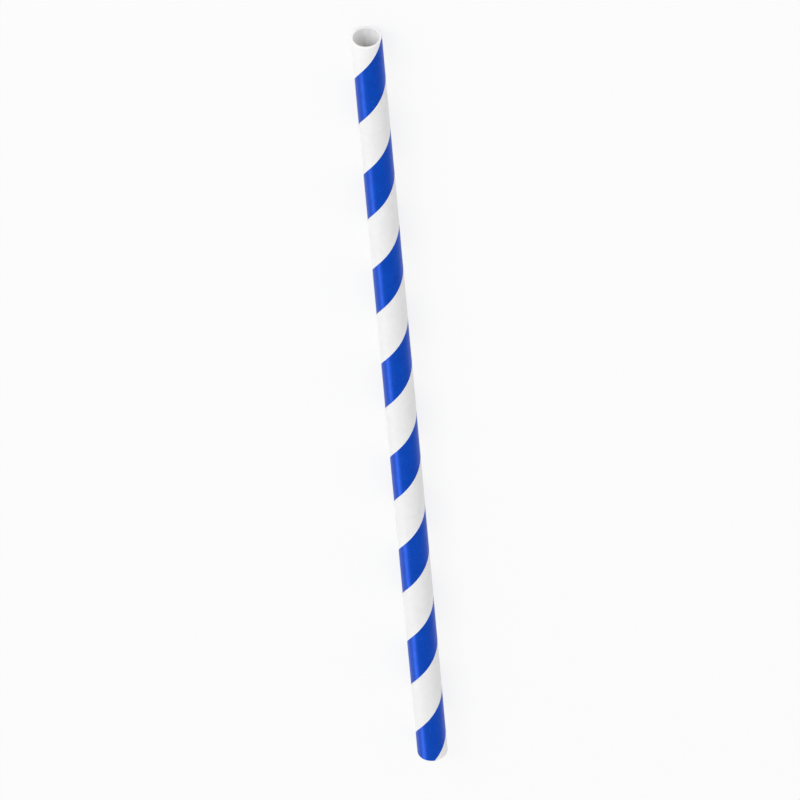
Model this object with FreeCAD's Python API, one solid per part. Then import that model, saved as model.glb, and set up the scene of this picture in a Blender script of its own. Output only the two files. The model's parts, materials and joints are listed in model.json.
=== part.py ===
import FreeCAD, Part

import os
from math import ceil, pi

from FreeCAD import Vector

# A paper drinking straw, in millimetres. Three strips of paper are wound on top of each other
# into a spiral tube and glued, so the wall is one piece. The two edges of each strip meet in a
# fine helical seam. The outer strip carries one printed band, which winds with the strip.
# The straw lies along X with its mouth at +X. Its top line is the line that faces up.

length = 197.0  # from the foot to the mouth
outer_diameter = 6.0
inner_ply = 0.12  # strip that lines the bore
middle_ply = 0.14
outer_ply = 0.14  # printed strip
pitch = 25.8  # advance of the winding along the straw in one turn
seam_gap = 0.12  # opening between the two edges of a strip, measured round the straw
seam_floor = 0.06  # width that the glue leaves at the bottom of the opening
seam_depth = 0.07  # how far the glue leaves the opening empty
band_start = 4.5  # from the mouth to the printed band, along the top line
band_rise = 12.2  # extent of the printed band along the straw
inner_seam_lag = 8.6  # from the outer strip's seam to the inner one's, along the straw

outer_radius = outer_diameter / 2
bore_radius = outer_radius - outer_ply - middle_ply - inner_ply
seam_rise = seam_gap * pitch / (pi * outer_diameter)

# The straw is wound upright, from its foot at z = 0, and laid down at the end.
# While it stands, its top line is at -X and the line that it will lie on is at +X.
# The round surfaces close, and each turn starts, on one line well away from both.
UP = Vector(0, 0, 1)
CENTRE = Vector(0, 0, 0)
TOP_LINE_ANGLE = 180
START_LINE_ANGLE = 108


def helix_turn(radius):
    """One turn of a right-handed helix round Z."""
    return Part.makeHelix(pitch, pitch, radius)


def seam_turn(surface, floor, beyond):
    """One turn of the opening between a strip's edges, as a solid that reaches beyond the wall.

    It is seam_gap wide at the wall's surface and narrows to seam_floor where the glue begins.
    """
    narrowing = (seam_gap - seam_floor) / 2 / (surface - floor)
    wide = seam_gap / 2 + narrowing * (beyond - surface)
    narrow = seam_floor / 2
    corners = [
        Vector(floor, -narrow, 0),
        Vector(beyond, -wide, 0),
        Vector(beyond, wide, 0),
        Vector(floor, narrow, 0),
    ]
    sweep = Part.BRepOffsetAPI.MakePipeShell(helix_turn(surface))
    sweep.setBiNormalMode(UP)
    sweep.add(Part.makePolygon(corners + corners[:1]))
    sweep.build()
    sweep.makeSolid()
    return sweep.shape()


def wind(turn, below_mouth):
    """Copies of a turn along the whole straw, crossing the top line below_mouth from the mouth."""
    start_rise = pitch * (START_LINE_ANGLE - TOP_LINE_ANGLE) / 360
    highest = length - (below_mouth - start_rise) % pitch
    copies = []
    for number in range(ceil(highest / pitch) + 1):
        copy = turn.copy()
        copy.rotate(CENTRE, UP, START_LINE_ANGLE)
        copy.translate(UP * (highest - number * pitch))
        copies.append(copy)
    return copies


def glued_wall():
    """The plain tube that the three strips make."""
    wall = Part.makeCylinder(outer_radius, length).cut(Part.makeCylinder(bore_radius, length))
    wall.rotate(CENTRE, UP, START_LINE_ANGLE)
    return wall


def open_seams(wall):
    """Cut the outer strip's seam from the outside and the inner strip's from the bore.

    The outer seam runs along the lower edge of the printed band. Each cutter reaches one strip
    past the wall.
    """
    outer_seam = band_start + band_rise + seam_rise / 2
    outer_slot = seam_turn(outer_radius, outer_radius - seam_depth, outer_radius + outer_ply)
    inner_slot = seam_turn(bore_radius, bore_radius + seam_depth, bore_radius - inner_ply)
    return wall.cut(wind(outer_slot, outer_seam) + wind(inner_slot, outer_seam + inner_seam_lag))


def mark_band(wall):
    """Divide the outside along the band's upper edge, so that the band is a face of its own."""
    return wall.generalFuse(wind(helix_turn(outer_radius), band_start))[0].Solids[0]


def lay_down(straw):
    """Turn the straw onto its side, with its top line up and its middle over the origin."""
    straw.translate(UP * -length / 2)
    straw.rotate(CENTRE, Vector(0, 1, 0), 90)
    straw.translate(UP * outer_radius)
    return straw


straw_tube = lay_down(mark_band(open_seams(glued_wall())))

os.makedirs("parts", exist_ok=True)
straw_tube.exportStep("parts/straw_tube.step")
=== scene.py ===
import json
from math import cos, pi, radians, sin

import bmesh
import bpy
import numpy as np
from mathutils import Matrix, Vector


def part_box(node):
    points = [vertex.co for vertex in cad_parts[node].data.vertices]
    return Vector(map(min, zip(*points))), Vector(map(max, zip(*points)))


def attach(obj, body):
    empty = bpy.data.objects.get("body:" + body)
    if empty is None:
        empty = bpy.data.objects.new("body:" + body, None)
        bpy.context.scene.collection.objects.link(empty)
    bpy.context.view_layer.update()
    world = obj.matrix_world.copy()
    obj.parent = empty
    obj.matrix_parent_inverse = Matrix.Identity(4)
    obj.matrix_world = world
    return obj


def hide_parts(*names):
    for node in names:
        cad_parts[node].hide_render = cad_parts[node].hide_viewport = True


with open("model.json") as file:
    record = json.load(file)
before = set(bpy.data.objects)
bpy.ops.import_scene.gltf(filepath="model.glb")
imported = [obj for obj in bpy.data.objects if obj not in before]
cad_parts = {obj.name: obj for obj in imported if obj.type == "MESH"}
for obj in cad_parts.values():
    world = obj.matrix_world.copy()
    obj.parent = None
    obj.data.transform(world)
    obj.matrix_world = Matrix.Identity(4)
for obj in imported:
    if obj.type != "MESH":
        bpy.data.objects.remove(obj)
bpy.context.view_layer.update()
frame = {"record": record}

# The straw lies along X with its mouth at +X. All lengths are in metres.
# A place on the wall is given by three coordinates: its depth below the mouth, its turn angle
# from the top line, and its strip coordinate, which is constant along the winding and is equal
# to the depth on the top line.

MM = 0.001

low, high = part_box("straw_tube")
mounts = {mount["name"]: mount for mount in frame["record"]["mounts"]}
LENGTH = high.x - low.x
AXIS_HEIGHT = (low.z + high.z) / 2
OUTER_RADIUS = mounts["barrel"]["dims"]["r_mm"] * MM
BORE_RADIUS = mounts["bore"]["dims"]["r_mm"] * MM

# The winding, as in the solid
PITCH = 25.8 * MM
OUTER_PLY = 0.14 * MM
INNER_PLY = 0.12 * MM
SEAM_RISE = 0.164 * MM
SEAM_DEPTH = 0.07 * MM
BAND_START = 4.5 * MM
BAND_RISE = 12.2 * MM
INNER_SEAM_LAG = 8.6 * MM

# Small forms of the paper
SLOT_WALL_RISE = 0.041 * MM
EDGE_SOFTNESS = 0.07 * MM
EDGE_LIFT = 0.012 * MM
EDGE_LIFT_WIDTH = 0.5 * MM
PLY_RIDGE = 0.008 * MM
PLY_RIDGE_WIDTH = 0.55 * MM
MIDDLE_SEAM_LAG = 17.2 * MM
WALL_WAVE = 0.010 * MM
LIP_DEPTH = 0.10 * MM
LIP_DROP = 0.045 * MM
CUT_WAVE = 0.025 * MM
CUT_REACH = 0.35 * MM
GLUE_LINE_WIDTH = 0.022 * MM
FIBRE = 0.16 * MM
CUT_FIBRE = 0.07 * MM

# Height of the paper's grain: inked, white, uncoated and cut
INK_RELIEF = 0.006 * MM
FACE_RELIEF = 0.010 * MM
RAW_RELIEF = 0.014 * MM
CUT_RELIEF = 0.03 * MM

# How far light spreads inside the paper
LIGHT_DEPTH = 0.35 * MM

OUTER_COLUMNS = 128
INNER_COLUMNS = 80
SHARP_ANGLE = radians(50)
CUT_TOLERANCE = 1e-8
END_TOLERANCE = 1e-6

# The camera looks down at the mouth end, so that the mouth is at the top of the picture. The
# picture's width and the straw's length in it are in pixels, the sensor and lens in millimetres.
PICTURE = 800
SENSOR = 36
LENS = 900
VIEW_ABOVE_CROSS_PLANE = radians(45)
LEAN = radians(5.3)
SHOWN_LENGTH = 716

# Light and floor. The lamps' power is in watts.
WORLD_STRENGTH = 0.73
KEY_PLACE = (2.3, 1.8, 1.7)
KEY_SIZE = 1.6
KEY_POWER = 41.0
SHEEN_PLACE = (-2.1, 1.85, 0.7)
SHEEN_SIZE = 0.8
SHEEN_POWER = 11.0
FLOOR_HALF_WIDTH = 8.0
FLOOR_WHITENING = 0.82


def strip_rows(segments):
    """Row positions over one pitch, from (start, end, radius, material, row count) segments."""
    rows = []
    for start, end, radius, material, count in segments:
        for number in range(count):
            share = number / count
            rows.append((start + (end - start) * share, radius, material))
    return rows


def outer_rows():
    """The band, the open seam below it and the bare paper, over one pitch of the outer strip."""
    seam = BAND_START + BAND_RISE
    after = seam + SEAM_RISE
    floor = OUTER_RADIUS - SEAM_DEPTH
    top = OUTER_RADIUS
    return strip_rows([
        (BAND_START, seam - EDGE_SOFTNESS, top, "ink", 18),
        (seam - EDGE_SOFTNESS, seam, top, "ink", 2),
        (seam, seam + SLOT_WALL_RISE, top, "ply", 1),
        (seam + SLOT_WALL_RISE, after - SLOT_WALL_RISE, floor, "ply", 1),
        (after - SLOT_WALL_RISE, after, floor, "ply", 1),
        (after, after + EDGE_SOFTNESS, top, "bare", 2),
        (after + EDGE_SOFTNESS, BAND_START + PITCH, top, "bare", 19),
    ])


def inner_rows():
    """The lining strip and its open seam, over one pitch."""
    seam = BAND_START + BAND_RISE + INNER_SEAM_LAG
    after = seam + SEAM_RISE
    floor = BORE_RADIUS + SEAM_DEPTH
    return strip_rows([
        (seam, seam + SLOT_WALL_RISE, BORE_RADIUS, "lining", 1),
        (seam + SLOT_WALL_RISE, after - SLOT_WALL_RISE, floor, "lining", 1),
        (after - SLOT_WALL_RISE, after, floor, "lining", 1),
        (after, seam + PITCH, BORE_RADIUS, "lining", 22),
    ])


def wound_surface(mesh, rows, columns, slots, facing_out):
    """Add a helical grid of faces that reaches past both ends of the straw."""
    turns = range(-2, int(LENGTH / PITCH) + 3)
    levels = [(strip + turn * PITCH, radius, material)
              for turn in turns for strip, radius, material in rows]
    grid = []
    for strip, radius, _ in levels:
        line = []
        for column in range(columns):
            angle = 2 * pi * column / columns
            depth = strip - PITCH * column / columns
            line.append(mesh.verts.new((
                LENGTH / 2 - depth,
                -radius * sin(angle),
                AXIS_HEIGHT + radius * cos(angle),
            )))
        grid.append(line)

    def point(number, column):
        """A grid point, where the one past the last column starts the turn before."""
        if column == columns:
            return grid[number - len(rows)][0]
        return grid[number][column]

    for number in range(len(rows), len(levels) - 1):
        for column in range(columns):
            corners = [
                point(number, column),
                point(number, column + 1),
                point(number + 1, column + 1),
                point(number + 1, column),
            ]
            face = mesh.faces.new(corners if facing_out else corners[::-1])
            face.material_index = slots[levels[number][2]]
            face.smooth = True


def trim(mesh):
    """Cut the wall square at both ends, with rings of edges beside each cut for the lip."""
    for end in (-1, 1):
        for inset in (CUT_REACH, LIP_DEPTH, LIP_DEPTH * 0.55, LIP_DEPTH * 0.2):
            everything = mesh.verts[:] + mesh.edges[:] + mesh.faces[:]
            bmesh.ops.bisect_plane(
                mesh, geom=everything, dist=CUT_TOLERANCE,
                plane_co=(end * (LENGTH / 2 - inset), 0, 0), plane_no=(end, 0, 0))
        everything = mesh.verts[:] + mesh.edges[:] + mesh.faces[:]
        bmesh.ops.bisect_plane(
            mesh, geom=everything, dist=CUT_TOLERANCE, clear_outer=True,
            plane_co=(end * LENGTH / 2, 0, 0), plane_no=(end, 0, 0))


def close_ends(mesh, slot):
    """Fill the ring between the outside and the bore at each end with the cut edge."""
    for end in (-1, 1):
        rim = [
            edge for edge in mesh.edges if edge.is_boundary
            and all(abs(vertex.co.x - end * LENGTH / 2) < END_TOLERANCE for vertex in edge.verts)]
        filled = bmesh.ops.triangle_fill(mesh, use_beauty=True, edges=rim, normal=(end, 0, 0))
        for face in filled["geom"]:
            if isinstance(face, bmesh.types.BMFace):
                face.material_index = slot
                if face.normal.x * end < 0:
                    face.normal_flip()


def bump_sum(values, waves):
    """A repeatable uneven curve between about -1 and 1."""
    total = np.zeros_like(values)
    for number, wave in enumerate(waves):
        total += np.sin(values * wave + 1.7 * number + 0.6)
    return total / len(waves)


def near(values, place, width):
    """1 at a strip coordinate, falling to 0 a few widths away, repeated every pitch."""
    away = (values - place + PITCH / 2) % PITCH - PITCH / 2
    return np.exp(-(away / width) ** 2)


def shape_paper(data):
    """Move the points of the finished wall by the small forms that wound and cut paper has."""
    points = np.zeros(len(data.vertices) * 3)
    data.vertices.foreach_get("co", points)
    points = points.reshape(-1, 3)
    across = points[:, 1]
    up = points[:, 2] - AXIS_HEIGHT
    radius = np.hypot(across, up)
    angle = np.arctan2(-across, up)
    depth = LENGTH / 2 - points[:, 0]
    strip = depth + PITCH * angle / (2 * pi)
    run = depth / PITCH * 2 * pi

    middle = (OUTER_RADIUS + BORE_RADIUS) / 2
    outside = radius > middle
    seam = BAND_START + BAND_RISE + SEAM_RISE / 2
    lift = EDGE_LIFT * (1 + 0.6 * bump_sum(run, (1.3, 2.9, 4.7)))
    away = near(strip, seam, EDGE_LIFT_WIDTH) * lift
    ridge = near(strip, seam + MIDDLE_SEAM_LAG, PLY_RIDGE_WIDTH) * PLY_RIDGE
    wave = WALL_WAVE * bump_sum(angle * 2 + run * 0.31, (1.0,)) * bump_sum(run, (0.7, 1.9))
    to_end = np.minimum(depth, LENGTH - depth)
    lip = np.clip(1 - to_end / LIP_DEPTH, 0, 1) ** 2 * LIP_DROP
    moved = radius + wave + np.where(outside, away + ridge - lip, 0.5 * lip)

    cut = np.clip(1 - to_end / CUT_REACH, 0, 1)
    ragged = bump_sum(angle, (2.0, 5.0, 9.0, 17.0)) + 0.5 * bump_sum(angle, (31.0, 47.0))
    shift = -np.sign(points[:, 0]) * cut * CUT_WAVE * (1 + ragged) / 2

    points[:, 0] += shift
    points[:, 1] *= moved / radius
    points[:, 2] = AXIS_HEIGHT + up * moved / radius
    data.vertices.foreach_set("co", points.ravel())


def build_straw(materials):
    """The wound wall as one closed mesh, with a material for each kind of paper surface."""
    slots = {name: number for number, name in enumerate(materials)}
    mesh = bmesh.new()
    wound_surface(mesh, outer_rows(), OUTER_COLUMNS, slots, True)
    wound_surface(mesh, inner_rows(), INNER_COLUMNS, slots, False)
    trim(mesh)
    close_ends(mesh, slots["cut"])
    loose = [vertex for vertex in mesh.verts if not vertex.link_faces]
    bmesh.ops.delete(mesh, geom=loose, context="VERTS")
    data = bpy.data.meshes.new("straw_paper")
    mesh.to_mesh(data)
    mesh.free()
    shape_paper(data)
    for material in materials.values():
        data.materials.append(material)
    data.set_sharp_from_angle(angle=SHARP_ANGLE)
    piece = bpy.data.objects.new("straw_paper", data)
    bpy.context.scene.collection.objects.link(piece)
    return piece


def linear(red, green, blue):
    """A colour from its 8-bit screen values."""
    def channel(value):
        value /= 255
        return value / 12.92 if value <= 0.04045 else ((value + 0.055) / 1.055) ** 2.4
    return (channel(red), channel(green), channel(blue), 1)


class Surface:
    """A material with a Principled shader, to which nodes are added by name."""

    def __init__(self, name, roughness, specular, depth=0.0):
        self.material = bpy.data.materials.new(name)
        self.material.use_nodes = True
        self.tree = self.material.node_tree
        self.shader = self.tree.nodes["Principled BSDF"]
        self.shader.inputs["Roughness"].default_value = roughness
        self.shader.inputs["Specular IOR Level"].default_value = specular
        if depth:
            self.shader.inputs["Subsurface Weight"].default_value = 1.0
            self.shader.inputs["Subsurface Radius"].default_value = (1, 1, 1)
            self.shader.inputs["Subsurface Scale"].default_value = depth
        self.place = self.add("ShaderNodeTexCoord").outputs["Object"]

    def add(self, kind, inputs=None, **settings):
        """A node whose inputs are set to a value or linked from another node's output."""
        node = self.tree.nodes.new(kind)
        for name, value in settings.items():
            setattr(node, name, value)
        for name, value in (inputs or {}).items():
            if isinstance(value, bpy.types.NodeSocket):
                self.tree.links.new(value, node.inputs[name])
            else:
                node.inputs[name].default_value = value
        return node

    def noise(self, size, detail=3.0):
        """Uneven values between 0 and 1, with features of about the given size in metres."""
        made = self.add("ShaderNodeTexNoise", {
            "Vector": self.place, "Scale": 1 / size, "Detail": detail, "Roughness": 0.6})
        return made.outputs["Fac"]

    def ramp(self, value, low_stop, high_stop):
        """0 below the first stop, 1 above the second."""
        return self.add("ShaderNodeMapRange", {
            "Value": value, "From Min": low_stop, "From Max": high_stop}, clamp=True).outputs["Result"]

    def calculate(self, operation, *values):
        return self.add("ShaderNodeMath", dict(enumerate(values)), operation=operation).outputs[0]

    def blend(self, factor, first, second):
        """The first colour where the factor is 0, the second where it is 1."""
        return self.add("ShaderNodeMix", {0: factor, 6: first, 7: second}, data_type="RGBA").outputs[2]

    def clouds(self, size, first, second):
        """Two near colours in soft patches of about the given size in metres."""
        return self.blend(self.ramp(self.noise(size), 0.3, 0.7), first, second)

    def colour(self, value):
        self.tree.links.new(value, self.shader.inputs["Base Color"])

    def roughness(self, lowest, highest):
        """Gloss that varies over the paper."""
        uneven = self.add("ShaderNodeMapRange", {
            "Value": self.noise(0.5 * MM), "To Min": lowest, "To Max": highest}).outputs["Result"]
        self.tree.links.new(uneven, self.shader.inputs["Roughness"])

    def relief(self, height, distance):
        bump = self.add("ShaderNodeBump", {"Height": height, "Strength": 1.0, "Distance": distance})
        self.tree.links.new(bump.outputs["Normal"], self.shader.inputs["Normal"])


def grain(surface):
    """Height of the paper's fibres, with a coarser cloudiness below them."""
    fibres = surface.noise(FIBRE, 4.0)
    clouds = surface.noise(1.1 * MM, 2.0)
    return surface.calculate("ADD", fibres, surface.calculate("MULTIPLY", clouds, 1.5))


def ink():
    """Satin blue print: slightly clouded, with pinholes where the white paper shows."""
    surface = Surface("blue_print", 0.35, 0.06)
    surface.shader.inputs["Metallic"].default_value = 0.3
    body = surface.clouds(2.6 * MM, linear(0, 70, 186), linear(0, 77, 197))
    pinholes = surface.ramp(surface.noise(0.22 * MM, 1.0), 0.70, 0.76)
    share = surface.calculate("MULTIPLY", pinholes, 0.45)
    surface.colour(surface.blend(share, body, linear(120, 160, 225)))
    surface.roughness(0.30, 0.40)
    surface.relief(grain(surface), INK_RELIEF)
    return surface.material


def bare():
    """White face paper between the turns of the band."""
    surface = Surface("white_paper", 0.5, 0.12, LIGHT_DEPTH)
    body = surface.clouds(2.2 * MM, linear(244, 244, 243), linear(250, 250, 249))
    flecks = surface.ramp(surface.noise(0.18 * MM, 2.0), 0.66, 0.74)
    share = surface.calculate("MULTIPLY", flecks, 0.3)
    surface.colour(surface.blend(share, body, linear(226, 224, 219)))
    surface.roughness(0.44, 0.60)
    surface.relief(grain(surface), FACE_RELIEF)
    return surface.material


def lining():
    """Uncoated paper of the bore."""
    surface = Surface("lining_paper", 0.8, 0.12, LIGHT_DEPTH)
    surface.colour(surface.clouds(1.6 * MM, linear(246, 245, 244), linear(252, 251, 250)))
    surface.relief(grain(surface), RAW_RELIEF)
    return surface.material


def ply():
    """The strip below, seen through the open seam."""
    surface = Surface("seam_paper", 0.8, 0.3, LIGHT_DEPTH)
    surface.colour(surface.clouds(0.8 * MM, linear(233, 232, 229), linear(240, 239, 236)))
    surface.relief(grain(surface), RAW_RELIEF)
    return surface.material


def glue_line(surface, out, radius):
    """1 where the distance from the axis is the radius, falling to 0 beside it."""
    away = surface.calculate("ABSOLUTE", surface.calculate("SUBTRACT", out, radius))
    return surface.add("ShaderNodeMapRange", {
        "Value": away, "From Min": 0.0, "From Max": GLUE_LINE_WIDTH, "To Min": 1.0, "To Max": 0.0,
    }).outputs["Result"]


def cut():
    """Cut edge of the wall: fibrous, with a fine line between the glued strips."""
    surface = Surface("cut_paper", 0.85, 0.3, LIGHT_DEPTH)
    parts = surface.add("ShaderNodeSeparateXYZ", {"Vector": surface.place})
    up = surface.calculate("SUBTRACT", parts.outputs["Z"], AXIS_HEIGHT)
    flat = surface.add("ShaderNodeCombineXYZ", {"Y": parts.outputs["Y"], "Z": up})
    length = surface.add("ShaderNodeVectorMath", {0: flat.outputs[0]}, operation="LENGTH")
    out = length.outputs["Value"]
    outer_line = glue_line(surface, out, OUTER_RADIUS - OUTER_PLY)
    inner_line = glue_line(surface, out, BORE_RADIUS + INNER_PLY)
    glue = surface.calculate("MAXIMUM", outer_line, inner_line)
    fibres = surface.ramp(surface.noise(CUT_FIBRE, 4.0), 0.35, 0.65)
    body = surface.blend(fibres, linear(238, 237, 233), linear(252, 251, 249))
    share = surface.calculate("MULTIPLY", glue, 0.45)
    surface.colour(surface.blend(share, body, linear(178, 172, 160)))
    surface.relief(surface.noise(CUT_FIBRE, 4.0), CUT_RELIEF)
    return surface.material


def whiten_backdrop(surface, share):
    """Show a surface part of the way to plain white, to the camera and in reflections alone."""
    white = surface.add("ShaderNodeEmission", {"Color": (1, 1, 1, 1), "Strength": 1.0})
    path = surface.add("ShaderNodeLightPath")
    seen = path.outputs["Is Camera Ray"]
    for kind in ("Is Glossy Ray", "Is Transmission Ray"):
        seen = surface.calculate("MAXIMUM", seen, path.outputs[kind])
    factor = surface.calculate("MULTIPLY", seen, share)
    plain = surface.shader.outputs[0]
    mixed = surface.add("ShaderNodeMixShader", {0: factor, 1: plain, 2: white.outputs[0]})
    shown = surface.tree.nodes["Material Output"].inputs["Surface"]
    surface.tree.links.new(mixed.outputs[0], shown)


def pale_floor():
    """A plain pale surface under the straw."""
    far = FLOOR_HALF_WIDTH
    corners = [(-far, -far, 0), (far, -far, 0), (far, far, 0), (-far, far, 0)]
    data = bpy.data.meshes.new("floor")
    data.from_pydata(corners, [], [(0, 1, 2, 3)])
    surface = Surface("pale_floor", 0.9, 0.0)
    clouds = surface.noise(400 * MM)
    surface.colour(surface.blend(clouds, linear(246, 246, 246), linear(249, 249, 249)))
    whiten_backdrop(surface, FLOOR_WHITENING)
    data.materials.append(surface.material)
    floor = bpy.data.objects.new("floor", data)
    bpy.context.scene.collection.objects.link(floor)


def softbox(name, place, size, power, gloss_only=False):
    """A square lamp that faces the straw's middle."""
    lamp = bpy.data.lights.new(name, "AREA")
    lamp.shape = "SQUARE"
    lamp.size = size
    lamp.energy = power
    holder = bpy.data.objects.new(name, lamp)
    holder.location = place
    holder.rotation_euler = (-Vector(place)).to_track_quat("-Z", "Y").to_euler()
    holder.visible_camera = False
    holder.visible_diffuse = not gloss_only
    bpy.context.scene.collection.objects.link(holder)


def studio():
    """Even light, a broad lamp from the left of the picture, and one that only shows as gloss."""
    world = bpy.data.worlds.new("studio")
    bpy.context.scene.world = world
    world.use_nodes = True
    back = world.node_tree.nodes["Background"]
    back.inputs["Color"].default_value = (1, 1, 1, 1)
    back.inputs["Strength"].default_value = WORLD_STRENGTH
    softbox("key", KEY_PLACE, KEY_SIZE, KEY_POWER)
    softbox("sheen", SHEEN_PLACE, SHEEN_SIZE, SHEEN_POWER, gloss_only=True)


def camera():
    """A distant camera at the photograph's angle, in whose picture the straw leans as it does there."""
    data = bpy.data.cameras.new("camera")
    data.sensor_width = SENSOR
    data.lens = LENS
    holder = bpy.data.objects.new("camera", data)
    bpy.context.scene.collection.objects.link(holder)
    back = Vector((sin(VIEW_ABOVE_CROSS_PLANE), 0, cos(VIEW_ABOVE_CROSS_PLANE)))
    seen_length = LENGTH * cos(VIEW_ABOVE_CROSS_PLANE)
    width = seen_length * PICTURE / SHOWN_LENGTH
    distance = width * LENS / SENSOR
    up = Vector((cos(VIEW_ABOVE_CROSS_PLANE), 0, -sin(VIEW_ABOVE_CROSS_PLANE)))
    right = up.cross(back)
    turned_up = up * cos(LEAN) + right * sin(LEAN)
    turned_right = turned_up.cross(back)
    middle = Vector((0, 0, AXIS_HEIGHT))
    place = middle + back * distance
    axes = Matrix((turned_right, turned_up, back)).transposed().to_4x4()
    holder.matrix_world = Matrix.Translation(place) @ axes
    data.clip_start = distance / 100
    data.clip_end = distance * 10
    bpy.context.scene.camera = holder


straw = build_straw({"ink": ink(), "bare": bare(), "ply": ply(), "lining": lining(), "cut": cut()})
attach(straw, "root")
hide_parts("straw_tube")
pale_floor()
studio()
camera()
bpy.context.scene.view_settings.view_transform = "Standard"
